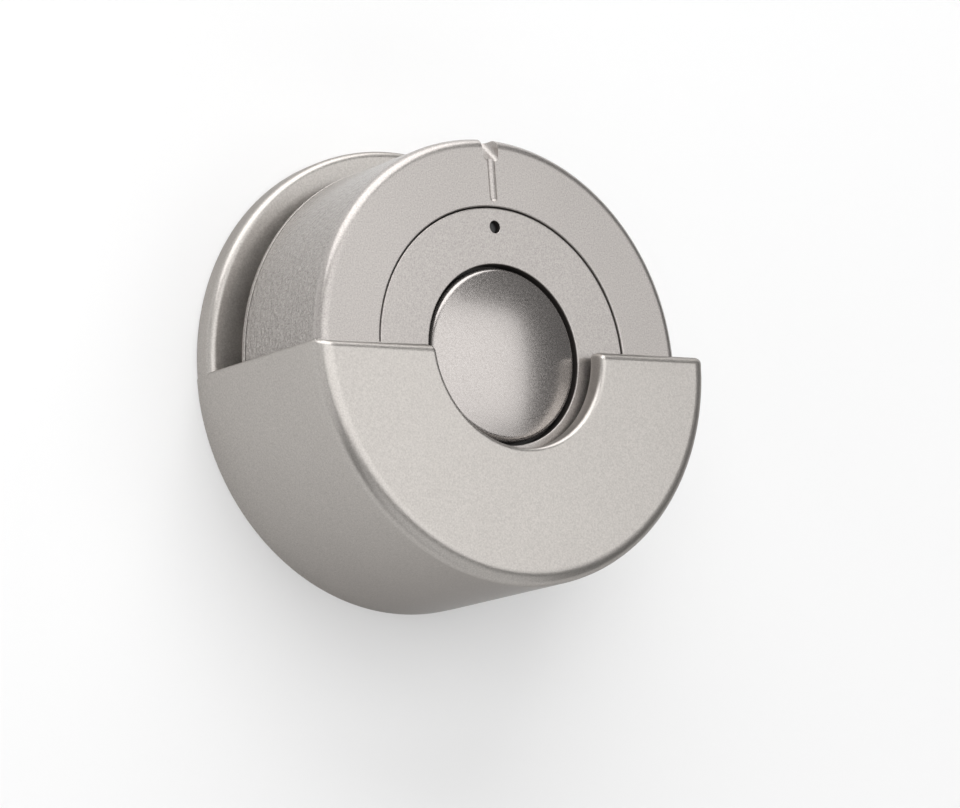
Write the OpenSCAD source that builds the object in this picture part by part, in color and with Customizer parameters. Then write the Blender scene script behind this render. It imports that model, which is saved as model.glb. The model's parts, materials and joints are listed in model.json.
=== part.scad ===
// Remote control dimmer in a round wall holder.
// The wall is the plane y = 0, the front looks towards -Y, and the origin is the centre of the holder's back.
// Pieces are drawn lying down: x to the right, y up the wall, z out from the wall. Two modules stand them up.

/* [Dimmer ring] */
// Outside radius of the ring at its widest
ring_r = 29.2; // [28.4:0.2:32]
// Length of the ring along its axis
ring_len = 17.4; // [16.6:0.2:20]
// How much smaller the ring is at its rear end
ring_taper = 0.2; // [0.1:0.1:1.2]
// Length of the straight part of the ring's side behind its front edge
ring_straight = 4.0; // [2:0.5:8]
// Radius of the ring's rounded front edge
ring_round = 1.4; // [0.8:0.1:2]
// Thickness of the ring's side wall at its rear end
ring_wall = 2.8; // [1.6:0.1:3]
// Thickness of the ring's flat front
ring_front_t = 2.0; // [1.7:0.1:2.6]
// Width of the ring's front, from its outside radius to the hole in it
ring_face_w = 9.3; // [8.8:0.1:10]
// Width of the notch at the ring's edge
notch_w = 2.6; // [1.8:0.1:4]
// Distance of the notch's bottom from the ring's outer radius, at the front
notch_in = 3.2; // [2:0.1:3.4]
// Radius of the two bottom corners of the notch
notch_round = 0.8; // [0.2:0.1:0.9]
// Width of the index groove
groove_w = 1.25; // [0.8:0.05:1.6]
// Depth of the index groove
groove_depth = 0.5; // [0.2:0.05:0.5]
// Length of the index groove
groove_len = 5.5; // [3:0.1:5.8]

/* [Front disc] */
// How far the disc lies below the ring's front
disc_recess = 0.4; // [0.2:0.1:1.0]
// Thickness of the disc
disc_t = 1.6; // [1.4:0.1:2]
// Width of the disc, from its edge to the button's hole
disc_face_w = 7.4; // [6.9:0.05:7.8]
// Distance of the indicator hole from the disc's edge
indicator_in = 2.5; // [2.1:0.05:2.9]
// Diameter of the indicator hole
indicator_d = 1.7; // [1.4:0.1:2.2]

/* [Button] */
// Travel of the button
button_travel = 0.5; // [0.3:0.05:0.7]
// Height of the button's rim above the disc
button_rim = 0.25; // [0.1:0.05:0.5]
// Height of the button's dome above its rim
button_crown = 1.5; // [0.8:0.1:2.2]
// Radius of the rounding on the button's rim
button_round = 0.5; // [0.3:0.05:0.7]
// Width of the hidden flange that keeps the button in
button_flange = 1.7; // [1.2:0.1:2]
// Thickness of the button's flange
button_flange_t = 1.0; // [0.8:0.1:1.2]
// Diameter of the button's stem
stem_d = 3.4; // [2.6:0.2:4]

/* [Chassis] */
// Thickness of the chassis plate that carries the ring
carrier_t = 1.7; // [1.4:0.1:2]
// Distance between the ring's bore and the chassis tube
tube_in = 4.7; // [4.4:0.1:5]
// Wall of the chassis tube
tube_wall = 1.5; // [1.2:0.1:1.8]
// Thickness of the glide washer
washer_t = 0.6; // [0.4:0.1:0.8]
// Thickness of the ring retainer
retainer_t = 1.8; // [1.4:0.1:2.2]
// Thickness of the code magnet
magnet_t = 1.5; // [1:0.1:2]
// Distance between the chassis tube and the code magnet
magnet_gap = 1.7; // [1.5:0.1:2.4]

/* [Electronics] */
// Thickness of the circuit board
board_t = 1.2; // [0.8:0.1:1.6]
// Distance from the chassis plate to the board
board_gap = 6.0; // [5.6:0.1:7]
// Side of the push switch's square body
switch_w = 6.0; // [4.5:0.1:6.2]
// Height of the push switch's body
switch_h = 3.3; // [2.8:0.1:3.6]
// Diameter of the switch plunger
plunger_d = 3.5; // [2.5:0.1:3.6]
// Mean diameter of the button's spring
spring_d = 13.0; // [11.5:0.5:14]
// Wire diameter of the button's spring
spring_wire = 0.5; // [0.3:0.05:0.7]
// Turns of the button's spring
spring_turns = 4; // [3:1:6]
// How far the light pipe's collar stands out
pipe_collar = 0.75; // [0.5:0.05:0.9]

/* [Battery] */
// Diameter of the coin cell
cell_d = 24.5; // [20:0.5:26]
// Thickness of the coin cell
cell_t = 5.0; // [3:0.1:5.5]
// Width of the battery cover's rim outside the cell's bore
cover_rim = 2.1; // [1.8:0.1:2.4]
// Thickness of the battery cover
cover_t = 1.7; // [1.5:0.1:1.9]
// How far the cover's lugs stand out
lug_out = 1.2; // [0.8:0.1:1.3]
// Angle that the cover turns to open
cover_turn = 40; // [32:1:60]
// Wire diameter of the cover's seal
seal_d = 0.8; // [0.6:0.1:0.9]
// Width of the coin slot
slot_w = 1.6; // [1.2:0.1:2.2]

/* [Rear housing] */
// How far the housing's flange stands out past the ring's widest radius
flange_lip = 0.15; // [0.05:0.05:0.3]
// Thickness of the flange
flange_t = 1.3; // [1:0.1:1.8]
// Height of the boss on the back of the housing
boss_h = 2.8; // [2.7:0.1:3.4]
// Radius of the boss
boss_r = 24.0; // [23:0.5:25]
// Width of the boss between its flats
boss_w = 40.0; // [39:0.5:42]
// Wall of the cell's tub
tub_wall = 1.5; // [1.2:0.1:1.8]
// Diameter of a case screw's shank
case_screw_d = 2.0; // [1.6:0.1:2.2]
// Diameter of a case screw's head
case_head_d = 3.8; // [3.4:0.1:4]
// Distance of the case screws from the chassis tube's outside
case_screw_in = 2.3; // [2.2:0.05:2.5]
// Distance of the board screws from the chassis tube's bore
board_screw_in = 3.4; // [3.2:0.1:3.6]
// Diameter of a board screw's shank
board_screw_d = 1.8; // [1.4:0.1:2]
// Diameter of a board screw's head
board_head_d = 3.4; // [3:0.1:3.6]

/* [Wall holder] */
// Thickness of the back plate
plate_t = 3.3; // [2.6:0.1:4]
// Wall of the pocket where it leaves the plate
shell_wall = 1.8; // [1.6:0.1:2.4]
// How much the pocket's outside radius shrinks towards the front
shell_draft = 0.45; // [0.2:0.05:0.9]
// Thickness of the pocket's front wall
front_wall = 2.9; // [2:0.1:3.4]
// Radius of the plate's rounded edge
plate_round = 1.0; // [0.4:0.05:1.2]
// Radius of the pocket's rounded front edge
shell_round = 2.0; // [0.8:0.1:2.2]
// How far the pocket's top edge lies below the holder's axis
top_drop = 0.15; // [0:0.05:3]
// How much wider the front wall's cut-out is than the button's hole, on the radius
cutout_margin = 1.25; // [0.6:0.05:3]
// Distance between the two wall screws
screw_spacing = 40.0; // [36:1:42]
// Height of the wall screws above the holder's axis
screw_up = 6.0; // [5:0.5:8]
// Diameter of the wall screw holes
screw_hole_d = 4.3; // [3.5:0.1:4.5]
// Diameter of the countersink for a wall screw's head
screw_head_d = 8.4; // [7.4:0.1:8.6]
// Height of the two guide rails on the plate
rail_h = 2.4; // [1.6:0.1:2.6]
// Width of a guide rail
rail_w = 2.0; // [1.2:0.1:3]
// Length of a guide rail
rail_len = 16.0; // [10:1:17]
// Depth of the rails' tops below the holder's axis
rail_drop = 3.0; // [2:0.5:4]

/* [Clearances] */
// Gap between the remote's back and the plate
dock_gap = 0.3; // [0.2:0.05:0.5]
// Gap between the remote's front and the pocket's front wall
front_gap = 0.6; // [0.4:0.05:1]
// Play of the remote in the pocket, measured on the radius
pocket_play = 0.85; // [0.6:0.05:1.2]
// Gap under the remote where it sits in the pocket
seat_gap = 0.3; // [0.15:0.05:0.4]
// Gap between the ring and the flange behind it
ring_gap = 0.3; // [0.2:0.05:0.5]
// Radial gap between the ring and what it runs on
run_gap = 0.3; // [0.2:0.05:0.4]
// Gap between the front disc and the ring
disc_gap = 0.25; // [0.2:0.05:0.6]
// Gap between the button and its hole
button_gap = 0.65; // [0.4:0.05:0.8]
// Small gap between fixed pieces
fit_gap = 0.1; // [0.05:0.01:0.15]
// Gap between a rail and the boss's flat
rail_gap = 0.35; // [0.25:0.05:0.6]

/* [Hidden] */

// Fineness of round faces, steps in a drawn arc, and how far a cut runs past what it cuts
$fn = 96;
arc_steps = 8;
cut = 1;

silver = [0.77, 0.75, 0.72];
dark_silver = [0.66, 0.64, 0.61];
black_plastic = [0.12, 0.12, 0.13];
steel = [0.78, 0.79, 0.8];
gold = [0.85, 0.7, 0.4];
board_green = [0.1, 0.3, 0.2];

// Smallest gaps, where two fixed pieces touch or one piece presses on another
hair = 0.02;
contact_gap = 0.05;

// Heights above the wall, from the back of the remote to the front of the holder
rear_h = plate_t + dock_gap;
flange_back_h = rear_h + boss_h;
flange_front_h = flange_back_h + flange_t;
ring_back_h = flange_front_h + ring_gap;
ring_front_h = ring_back_h + ring_len;
ring_inner_h = ring_front_h - ring_front_t;
disc_front_h = ring_front_h - disc_recess;
disc_back_h = disc_front_h - disc_t;
carrier_front_h = ring_inner_h - washer_t - 2 * contact_gap;
carrier_back_h = carrier_front_h - carrier_t;
retainer_front_h = carrier_back_h - run_gap;
retainer_back_h = retainer_front_h - retainer_t;
board_front_h = carrier_back_h - board_gap;
board_back_h = board_front_h - board_t;
pocket_front_h = ring_front_h + front_gap;
holder_front_h = pocket_front_h + front_wall;

// Radii, from the holder in to the remote
ring_rear_r = ring_r - ring_taper;
ring_bore_r = ring_rear_r - ring_wall;
ring_hole_r = ring_r - ring_face_w;
flange_r = ring_r + flange_lip;
pocket_r = flange_r + pocket_play;
holder_r = pocket_r + shell_wall;
shell_front_r = holder_r - shell_draft;
disc_r = ring_hole_r - disc_gap;
step_r = disc_r - fit_gap;
indicator_pos = disc_r - indicator_in;
button_hole_r = disc_r - disc_face_w;
cutout_r = button_hole_r + cutout_margin;
button_r = button_hole_r - button_gap;
button_flange_r = button_r + button_flange;
carrier_r = ring_bore_r - run_gap;
carrier_hole_r = button_flange_r + run_gap;
tube_r = ring_bore_r - tube_in;
tube_bore_r = tube_r - tube_wall;
board_r = tube_bore_r - run_gap - fit_gap;

// The remote's axis lies lower than the holder's, because it sits on the pocket's floor
drop = pocket_play - seat_gap;

// The ring's side is an arc whose radius follows from the taper over the curved length
crown_len = ring_len - ring_straight - ring_round;
crown_r = (crown_len * crown_len + ring_taper * ring_taper) / (2 * ring_taper);
crown_angle = asin(crown_len / crown_r);

// The retainer snaps into a groove in the ring, and the lip on the housing guides the ring's rear end
snap_depth = 0.4;
snap_r = ring_bore_r + snap_depth;
retainer_r = snap_r - fit_gap;
retainer_hole_r = tube_r + 1.0;
lip_h = 2.0;
lip_wall = 1.6;

// Clicks: round scallops in the retainer and a bump on a leaf spring with two feet
click_count = 24;
scallop_r = 0.95;
scallop_pos = retainer_hole_r - 0.1;
bump_r = 0.75;
leaf_t = 0.3;
leaf_w = 1.4;
leaf_r = tube_r + fit_gap;
leaf_span = 50;
leaf_place = 180;
leaf_back_h = (retainer_front_h + retainer_back_h - leaf_w) / 2;
foot_inset = 8;
foot_angles = [leaf_place - leaf_span / 2 + foot_inset, leaf_place + leaf_span / 2 - foot_inset];
foot_w = 1.6;
foot_reach = 0.4;

// Button, and the switch under it
button_rim_h = disc_front_h + button_rim;
button_flange_front_h = disc_back_h - 2 * fit_gap;
button_flange_back_h = button_flange_front_h - button_flange_t;
dome_r = button_r - button_round;
dome_sphere_r = (dome_r * dome_r + button_crown * button_crown) / (2 * button_crown);
dome_angle = asin(dome_r / dome_sphere_r);
rim_arc = 70;
cap_skin = 1.3;
cap_hollow = 0.6;
spring_seat = 0.5;
switch_top_h = board_front_h + switch_h;
plunger_sink = 0.2;
plunger_spare = 0.3;
plunger_back_h = switch_top_h - plunger_sink;
plunger_top_h = switch_top_h + button_travel + plunger_spare;

// Light
pipe_r = indicator_d / 2 - fit_gap;
collar_r = pipe_r + pipe_collar;
collar_t = 0.8;
led_h = 0.65;
pipe_sink = 0.4;

// Cell, cover and contacts
cell_bore_r = cell_d / 2 + 0.25;
cover_r = cell_bore_r + cover_rim;
cover_back_h = rear_h;
cover_front_h = cover_back_h + cover_t;
cover_seat_h = cover_front_h + 0.2;
cell_back_h = cover_seat_h + contact_gap;
cell_front_h = cell_back_h + cell_t;
tub_floor_h = cell_front_h + 0.6;
tub_top_h = tub_floor_h + 1.0;
cover_recess_r = cover_r + run_gap;
ledge_t = 0.8;
undercut_h = cover_back_h + ledge_t;
lug_back_h = undercut_h + fit_gap;
lug_r = cover_r + lug_out;
undercut_r = lug_r + run_gap;
lug_angle = 25;
entry_angle = 30;
lug_count = 3;
seal_pos = (cell_bore_r + cover_r) / 2;
seal_h = cover_seat_h - seal_d / 2 - fit_gap;
slot_len = 14;
slot_depth = 0.7;
contact_t = 0.25;
plus_w = 5;
plus_place = 60;
plus_foot_h = cell_back_h + 1.2;
minus_w = 4;
minus_reach = 4.5;

// Screws
case_screw_angles = [30, 150, 270];
case_screw_pos = tube_r - case_screw_in;
case_post_r = case_screw_d / 2 + 1.15;
case_head_h = 1.2;
case_head_sink = 0.3;
board_screw_angles = [0, 120, 240];
board_screw_pos = tube_bore_r - board_screw_in;
board_post_r = board_screw_d / 2 + 1.2;
board_head_h = 0.9;
screw_bite = 4.5;
bite_spare = 0.5;

// Stands the holder's pieces up against the wall
module on_wall() {
    rotate([90, 0, 0]) children();
}

// Stands the remote's pieces up in the pocket
module docked() {
    translate([0, 0, -drop]) rotate([90, 0, 0]) children();
}

// A round disc between two heights
module disc(r, from, to) {
    translate([0, 0, from]) cylinder(r = r, h = to - from);
}

// A flat ring between two heights
module washer(r_out, r_in, from, to) {
    difference() {
        disc(r_out, from, to);
        disc(r_in, from - cut, to + cut);
    }
}

// Stands its children at each angle on a circle
module around(radius, angles) {
    for (a = angles) {
        rotate([0, 0, a]) translate([radius, 0, 0]) children();
    }
}

// A block given by its centre, the height of its foot and its size
module block(x, y, foot, w, d, h) {
    translate([x - w / 2, y - d / 2, foot]) cube([w, d, h]);
}

// A pie slice, centred on an angle
module slice(r, place, width, from, to) {
    translate([0, 0, from]) rotate([0, 0, place]) linear_extrude(to - from)
        polygon([[0, 0], [r * cos(width / 2), -r * sin(width / 2)], [r, 0],
            [r * cos(width / 2), r * sin(width / 2)]]);
}

// Points of an arc about a centre
function arc(cx, cy, r, from, to) =
    [for (i = [0:arc_steps]) [cx + r * cos(from + (to - from) * i / arc_steps),
        cy + r * sin(from + (to - from) * i / arc_steps)]];

// One moulding: plate, pocket, rails and the holes for the wall screws
module wall_holder() {
    color(silver) on_wall() difference() {
        union() {
            rotate_extrude() polygon(concat([[0, 0], [holder_r, 0]],
                arc(holder_r - plate_round, plate_t - plate_round, plate_round, 0, 90), [[0, plate_t]]));
            pocket_shell();
            for (side = [-1, 1]) {
                block(side * (boss_w / 2 + rail_gap + rail_w / 2), -rail_drop - rail_len / 2,
                    plate_t - plate_round, rail_w, rail_len, rail_h + plate_round);
            }
        }
        for (side = [-1, 1]) {
            translate([side * screw_spacing / 2, screw_up, 0]) wall_screw_hole();
        }
    }
}

// The half-round pocket on the plate's lower half
module pocket_shell() {
    foot = plate_t - plate_round;
    difference() {
        rotate_extrude() polygon(concat([[0, foot], [holder_r, foot]],
            arc(shell_front_r - shell_round, holder_front_h - shell_round, shell_round, 0, 90),
            [[0, holder_front_h]]));
        disc(pocket_r, plate_t, pocket_front_h);
        disc(cutout_r, pocket_front_h - cut, holder_front_h + cut);
        translate([-holder_r - cut, -top_drop, foot - cut])
            cube([2 * (holder_r + cut), holder_r + 2 * cut, holder_front_h + cut]);
    }
}

module wall_screw_hole() {
    sink = (screw_head_d - screw_hole_d) / 2;
    disc(screw_hole_d / 2, -cut, plate_t + cut);
    translate([0, 0, plate_t - sink]) cylinder(r1 = screw_hole_d / 2, r2 = screw_head_d / 2, h = sink);
    disc(screw_head_d / 2, plate_t, plate_t + cut);
}

// The turning ring, crowned on its side, with the index notch and groove at the top
module dimmer_ring() {
    snap_front_h = retainer_front_h + contact_gap;
    snap_back_h = retainer_back_h - contact_gap;
    color(silver) docked() difference() {
        rotate_extrude() polygon(concat(
            [[ring_bore_r, ring_back_h]],
            arc(ring_r - crown_r, ring_back_h + crown_len, crown_r, -crown_angle, 0),
            arc(ring_r - ring_round, ring_front_h - ring_round, ring_round, 0, 90),
            [[ring_hole_r, ring_front_h], [ring_hole_r, ring_inner_h], [ring_bore_r, ring_inner_h],
                [ring_bore_r, snap_front_h], [snap_r, snap_front_h], [snap_r, snap_back_h],
                [ring_bore_r, snap_back_h]]));
        index_notch();
        index_groove();
    }
}

// A slot with rounded bottom corners, cut at 45 degrees across the ring's front edge
module index_notch() {
    corner = notch_w / 2 - notch_round;
    reach = 2 * notch_in;
    translate([0, ring_r - notch_in, ring_front_h]) rotate([-45, 0, 0]) rotate([90, 0, 0])
        linear_extrude(2 * reach, center = true)
            polygon(concat(arc(-corner, notch_round, notch_round, 180, 270),
                arc(corner, notch_round, notch_round, 270, 360),
                [[notch_w / 2, reach], [-notch_w / 2, reach]]));
}

// A round-bottomed groove that runs in from the notch
module index_groove() {
    radius = (groove_w * groove_w / 4 + groove_depth * groove_depth) / (2 * groove_depth);
    inner = ring_r - notch_in - groove_len + groove_w / 2;
    translate([0, inner, ring_front_h + radius - groove_depth]) {
        rotate([-90, 0, 0]) cylinder(r = radius, h = groove_len);
        sphere(r = radius);
    }
}

module ring_retainer() {
    color(black_plastic) docked() difference() {
        washer(retainer_r, retainer_hole_r, retainer_back_h, retainer_front_h);
        around(scallop_pos, [for (i = [0:click_count - 1]) i * 360 / click_count])
            disc(scallop_r, retainer_back_h - cut, retainer_front_h + cut);
    }
}

module code_magnet() {
    color("dimgray") docked()
        washer(ring_bore_r - 2 * run_gap, tube_r + magnet_gap, retainer_back_h - magnet_t, retainer_back_h);
}

module glide_washer() {
    foot = carrier_front_h + contact_gap;
    color("ivory") docked() washer(ring_bore_r - 2 * run_gap, ring_hole_r + run_gap, foot, foot + washer_t);
}

// A leaf that lies along the tube, with a bump that drops into the retainer's scallops
module detent_spring() {
    color(steel) docked() union() {
        intersection() {
            washer(leaf_r + leaf_t, leaf_r, leaf_back_h, leaf_back_h + leaf_w);
            slice(2 * leaf_r, leaf_place, leaf_span, leaf_back_h - cut, leaf_back_h + leaf_w + cut);
        }
        difference() {
            around(scallop_pos, [leaf_place]) disc(bump_r, leaf_back_h, leaf_back_h + leaf_w);
            disc(leaf_r + leaf_t / 2, leaf_back_h - cut, leaf_back_h + leaf_w + cut);
        }
        around(0, foot_angles) spring_foot(0);
    }
}

// A foot of the leaf spring that reaches through the tube's wall, or the slot for it
module spring_foot(gap) {
    inner = tube_bore_r - foot_reach;
    block((inner + leaf_r) / 2, 0, leaf_back_h - gap, leaf_r - inner + leaf_t, foot_w + 2 * gap,
        leaf_w + 2 * gap);
}

// The frame inside: a plate that carries the ring, a tube, and posts for both kinds of screw
module chassis() {
    color(black_plastic) docked() difference() {
        union() {
            disc(carrier_r, carrier_back_h, carrier_front_h);
            disc(step_r, carrier_front_h - carrier_t / 2, disc_back_h);
            washer(tube_r, tube_bore_r, flange_front_h, carrier_front_h - carrier_t / 2);
            around(case_screw_pos, case_screw_angles)
                disc(case_post_r, flange_front_h + fit_gap, carrier_front_h - carrier_t / 2);
            around(board_screw_pos, board_screw_angles)
                disc(board_post_r, board_front_h, carrier_front_h - carrier_t / 2);
        }
        disc(carrier_hole_r, carrier_back_h - cut, disc_back_h + cut);
        translate([0, indicator_pos, 0]) {
            disc(pipe_r + fit_gap, carrier_back_h - cut, disc_back_h + cut);
            disc(collar_r + fit_gap, disc_back_h - collar_t - hair, disc_back_h + cut);
        }
        around(case_screw_pos, case_screw_angles)
            disc(case_screw_d / 2 + hair, flange_front_h - cut, flange_front_h + screw_bite + bite_spare);
        around(board_screw_pos, board_screw_angles)
            disc(board_screw_d / 2 + hair, board_front_h - cut, board_front_h + screw_bite + bite_spare);
        around(0, foot_angles) spring_foot(fit_gap);
    }
}

module front_disc() {
    edge = 0.15;
    color(silver) docked() difference() {
        rotate_extrude() polygon([[button_hole_r, disc_back_h], [disc_r, disc_back_h],
            [disc_r, disc_front_h - edge], [disc_r - edge, disc_front_h],
            [button_hole_r + edge, disc_front_h], [button_hole_r, disc_front_h - edge]]);
        translate([0, indicator_pos, 0]) disc(indicator_d / 2, disc_back_h - cut, disc_front_h + cut);
    }
}

// The domed cap, hollow below, with the flange that keeps it in, a seat for the spring and a stem
module button_cap() {
    color(silver) docked() union() {
        difference() {
            rotate_extrude() polygon(concat(
                [[0, button_flange_back_h], [button_flange_r, button_flange_back_h],
                    [button_flange_r, button_flange_front_h], [button_r, button_flange_front_h]],
                arc(button_r - button_round, button_rim_h - button_round, button_round, 0, rim_arc),
                [for (i = [arc_steps:-1:0]) dome_point(dome_angle * i / arc_steps)]));
            washer(button_r - cap_skin, (spring_d + spring_wire) / 2 + spring_seat,
                button_flange_back_h - cut, button_flange_front_h + cap_hollow);
        }
        disc(stem_d / 2, plunger_top_h, button_flange_back_h + button_flange_t / 2);
    }
}

// A point of the dome's curve, at an angle from the axis
function dome_point(angle) =
    [dome_sphere_r * sin(angle), button_rim_h + button_crown - dome_sphere_r * (1 - cos(angle))];

// The coil between the board and the underside of the cap
module button_spring() {
    sides = 8;
    per_turn = 24;
    steps = spring_turns * per_turn;
    foot = board_front_h + spring_wire / 2 + hair;
    rise = button_flange_back_h - board_front_h - spring_wire - 2 * hair;
    rings = [for (i = [0:steps]) each wire_ring(i * 360 / per_turn, foot + rise * i / steps, sides)];
    walls = [for (i = [0:steps - 1], k = [0:sides - 1])
        [i * sides + k, (i + 1) * sides + k, (i + 1) * sides + (k + 1) % sides, i * sides + (k + 1) % sides]];
    ends = [[for (k = [0:sides - 1]) k], [for (k = [sides - 1:-1:0]) steps * sides + k]];
    color(steel) docked() polyhedron(points = rings, faces = concat(walls, ends));
}

// Points of a circle of wire about a point of the coil
function wire_ring(angle, h, sides) =
    [for (k = [0:sides - 1]) let (a = k * 360 / sides, r = (spring_d + spring_wire * cos(a)) / 2)
        [r * cos(angle), r * sin(angle), h + spring_wire / 2 * sin(a)]];

module switch_plunger() {
    color("ivory") docked() disc(plunger_d / 2, plunger_back_h, plunger_top_h);
}

// A square push switch with four legs and a round guide for the plunger
module tact_switch() {
    leg_reach = 1.3;
    leg_w = 0.7;
    leg_t = 0.3;
    color(steel) docked() difference() {
        union() {
            block(0, 0, board_front_h, switch_w, switch_w, switch_h);
            for (y = [-switch_w / 3, switch_w / 3]) {
                block(0, y, board_front_h, switch_w + 2 * leg_reach, leg_w, leg_t);
            }
        }
        disc(plunger_d / 2 + fit_gap, plunger_back_h - button_travel - plunger_spare, switch_top_h + cut);
    }
}

module circuit_board() {
    color(board_green) docked() difference() {
        disc(board_r, board_back_h, board_front_h);
        around(case_screw_pos, case_screw_angles)
            disc(case_post_r + run_gap, board_back_h - cut, board_front_h + cut);
        around(board_screw_pos, board_screw_angles)
            disc(board_screw_d / 2 + fit_gap, board_back_h - cut, board_front_h + cut);
    }
}

// A small board with a shield can, soldered beside the switch
module radio_module() {
    place = [4.5, -10.3];
    size = [8, 6];
    base_t = 0.6;
    can_h = 1.4;
    can_inset = 0.4;
    color(steel) docked() union() {
        block(place.x, place.y, board_front_h, size.x, size.y, base_t);
        block(place.x, place.y, board_front_h + base_t / 2, size.x - 2 * can_inset, size.y - 2 * can_inset,
            can_h + base_t / 2);
    }
}

// An upright strip on two legs near the board's edge
module antenna() {
    place = [11.5, 6.9];
    strip_len = 7.0;
    strip_h = 1.6;
    strip_t = 0.3;
    leg_h = 2.2;
    leg_w = 0.9;
    color(gold) docked() union() {
        block(place.x, place.y, board_front_h + leg_h, strip_t, strip_len, strip_h);
        for (y = [place.y, place.y - (strip_len - leg_w) / 2]) {
            block(place.x, y, board_front_h, strip_t, leg_w, leg_h + strip_h / 2);
        }
    }
}

module microcontroller() {
    place = [-9.9, -4.2];
    chip_w = 5.0;
    chip_h = 0.85;
    color(black_plastic) docked() block(place.x, place.y, board_front_h, chip_w, chip_w, chip_h);
}

module crystal() {
    place = [-10.2, 4.6];
    size = [3.2, 2.5, 0.8];
    color(steel) docked() block(place.x, place.y, board_front_h, size.x, size.y, size.z);
}

module capacitors() {
    places = [[-9.6, 8.2], [-3, -9.6], [-3, -11.8], [8.8, 3.4], [8.8, -3.2]];
    size = [1.6, 0.8, 0.8];
    color("tan") docked() for (place = places) {
        block(place.x, place.y, board_front_h, size.x, size.y, size.z);
    }
}

// A small sensor on three legs at the board's edge, where it reads the code magnet
module hall_sensor() {
    place = -(board_r - 2.2);
    size = [1.4, 2.9, 1.0];
    leg = [0.8, 0.4, 0.3];
    color(black_plastic) docked() union() {
        block(place, 0, board_front_h + leg.z / 3, size.x, size.y, size.z);
        for (spot = [[-1, -1], [-1, 1], [1, 0]]) {
            block(place + spot.x * (size.x + leg.x / 2) / 2, spot.y * size.y / 3, board_front_h,
                leg.x, leg.y, leg.z);
        }
    }
}

module status_led() {
    size = [1.6, 0.8];
    lens_w = 1.1;
    color("white") docked() union() {
        block(0, indicator_pos, board_front_h, size.x, size.y, led_h / 2);
        block(0, indicator_pos, board_front_h, lens_w, size.y, led_h);
    }
}

// The clear rod that carries the light to the hole in the disc
module light_pipe() {
    color("lightgray") docked() translate([0, indicator_pos, 0]) union() {
        disc(pipe_r, board_front_h + led_h + run_gap, disc_front_h - pipe_sink);
        disc(collar_r, disc_back_h - collar_t, disc_back_h);
    }
}

// The back of the remote: boss, flange, tub for the cell and a lip that guides the ring
module rear_housing() {
    color(dark_silver) docked() difference() {
        union() {
            intersection() {
                disc(boss_r, rear_h, flange_back_h + flange_t / 2);
                block(0, 0, rear_h, boss_w, 2 * boss_r, boss_h + flange_t);
            }
            disc(flange_r, flange_back_h, flange_front_h);
            disc(cell_bore_r + tub_wall, flange_back_h, tub_top_h);
            washer(carrier_r, carrier_r - lip_wall, flange_back_h + flange_t / 2, flange_front_h + lip_h);
        }
        disc(cell_bore_r, cover_seat_h - cut, tub_floor_h);
        disc(cover_recess_r, rear_h - cut, cover_seat_h);
        disc(undercut_r, undercut_h, cover_seat_h);
        lugs(undercut_r, entry_angle, rear_h - cut, undercut_h + ledge_t / 2, cover_turn);
        around(case_screw_pos, case_screw_angles) {
            disc(case_screw_d / 2 + fit_gap, rear_h - cut, flange_front_h + cut);
            disc(case_head_d / 2 + fit_gap, rear_h - cut, rear_h + case_head_sink + case_head_h);
        }
        rotate([0, 0, plus_place])
            block(cell_bore_r, 0, plus_foot_h - run_gap, 5 * contact_t, plus_w + 2 * run_gap, tub_top_h);
        block(0, 0, tub_floor_h - cut, 2 * minus_reach + 2, minus_w + 2 * run_gap,
            tub_top_h - tub_floor_h + 2 * cut);
    }
}

// The lugs of the bayonet, or the slots that they enter by
module lugs(r, width, from, to, turn) {
    intersection() {
        disc(r, from, to);
        union() {
            for (i = [0:lug_count - 1]) {
                slice(2 * r, turn + i * 360 / lug_count, width, from - cut, to + cut);
            }
        }
    }
}

module battery_cover() {
    groove = seal_d / 2 + contact_gap;
    color(dark_silver) docked() difference() {
        union() {
            disc(cover_r, cover_back_h, cover_front_h);
            lugs(lug_r, lug_angle, lug_back_h, cover_front_h, 0);
        }
        washer(seal_pos + groove, seal_pos - groove, seal_h - groove, cover_front_h + cut);
        block(0, 0, cover_back_h - cut, slot_len, slot_w, cut + slot_depth);
    }
}

module cover_seal() {
    color(black_plastic) docked() rotate_extrude()
        translate([seal_pos, seal_h]) circle(r = seal_d / 2, $fn = 24);
}

// The can is the positive pole, and the smaller cap on it the negative one
module coin_cell() {
    step = 0.6;
    cap_inset = 1.6;
    color(steel) docked() union() {
        disc(cell_d / 2, cell_back_h, cell_front_h - step);
        disc(cell_d / 2 - cap_inset, cell_back_h + cell_t / 2, cell_front_h);
    }
}

// A leaf that comes down from the board and lies on the side of the cell
module cell_contact_plus() {
    side = cell_d / 2 + hair;
    tab = 1.7;
    color(gold) docked() rotate([0, 0, plus_place]) union() {
        block(side + contact_t / 2, 0, plus_foot_h, contact_t, plus_w, board_back_h - plus_foot_h);
        block(side + contact_t - tab / 2, 0, board_back_h - contact_t, tab, plus_w, contact_t);
    }
}

// A bent leaf from the board down to the cap of the cell
module cell_contact_minus() {
    tab = 3;
    toe = 1;
    bend_h = tub_floor_h + contact_t;
    inner = minus_reach - contact_t;
    color(gold) docked() translate([0, minus_w / 2, 0]) rotate([90, 0, 0]) linear_extrude(minus_w)
        polygon([[minus_reach, board_back_h], [minus_reach, bend_h - contact_t],
            [-minus_reach / 2, cell_front_h], [-minus_reach / 2 - toe, cell_front_h],
            [-minus_reach / 2 - toe, cell_front_h + contact_t], [-minus_reach / 2, cell_front_h + contact_t],
            [inner, bend_h], [inner, board_back_h - contact_t], [minus_reach - tab, board_back_h - contact_t],
            [minus_reach - tab, board_back_h]]);
}

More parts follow.
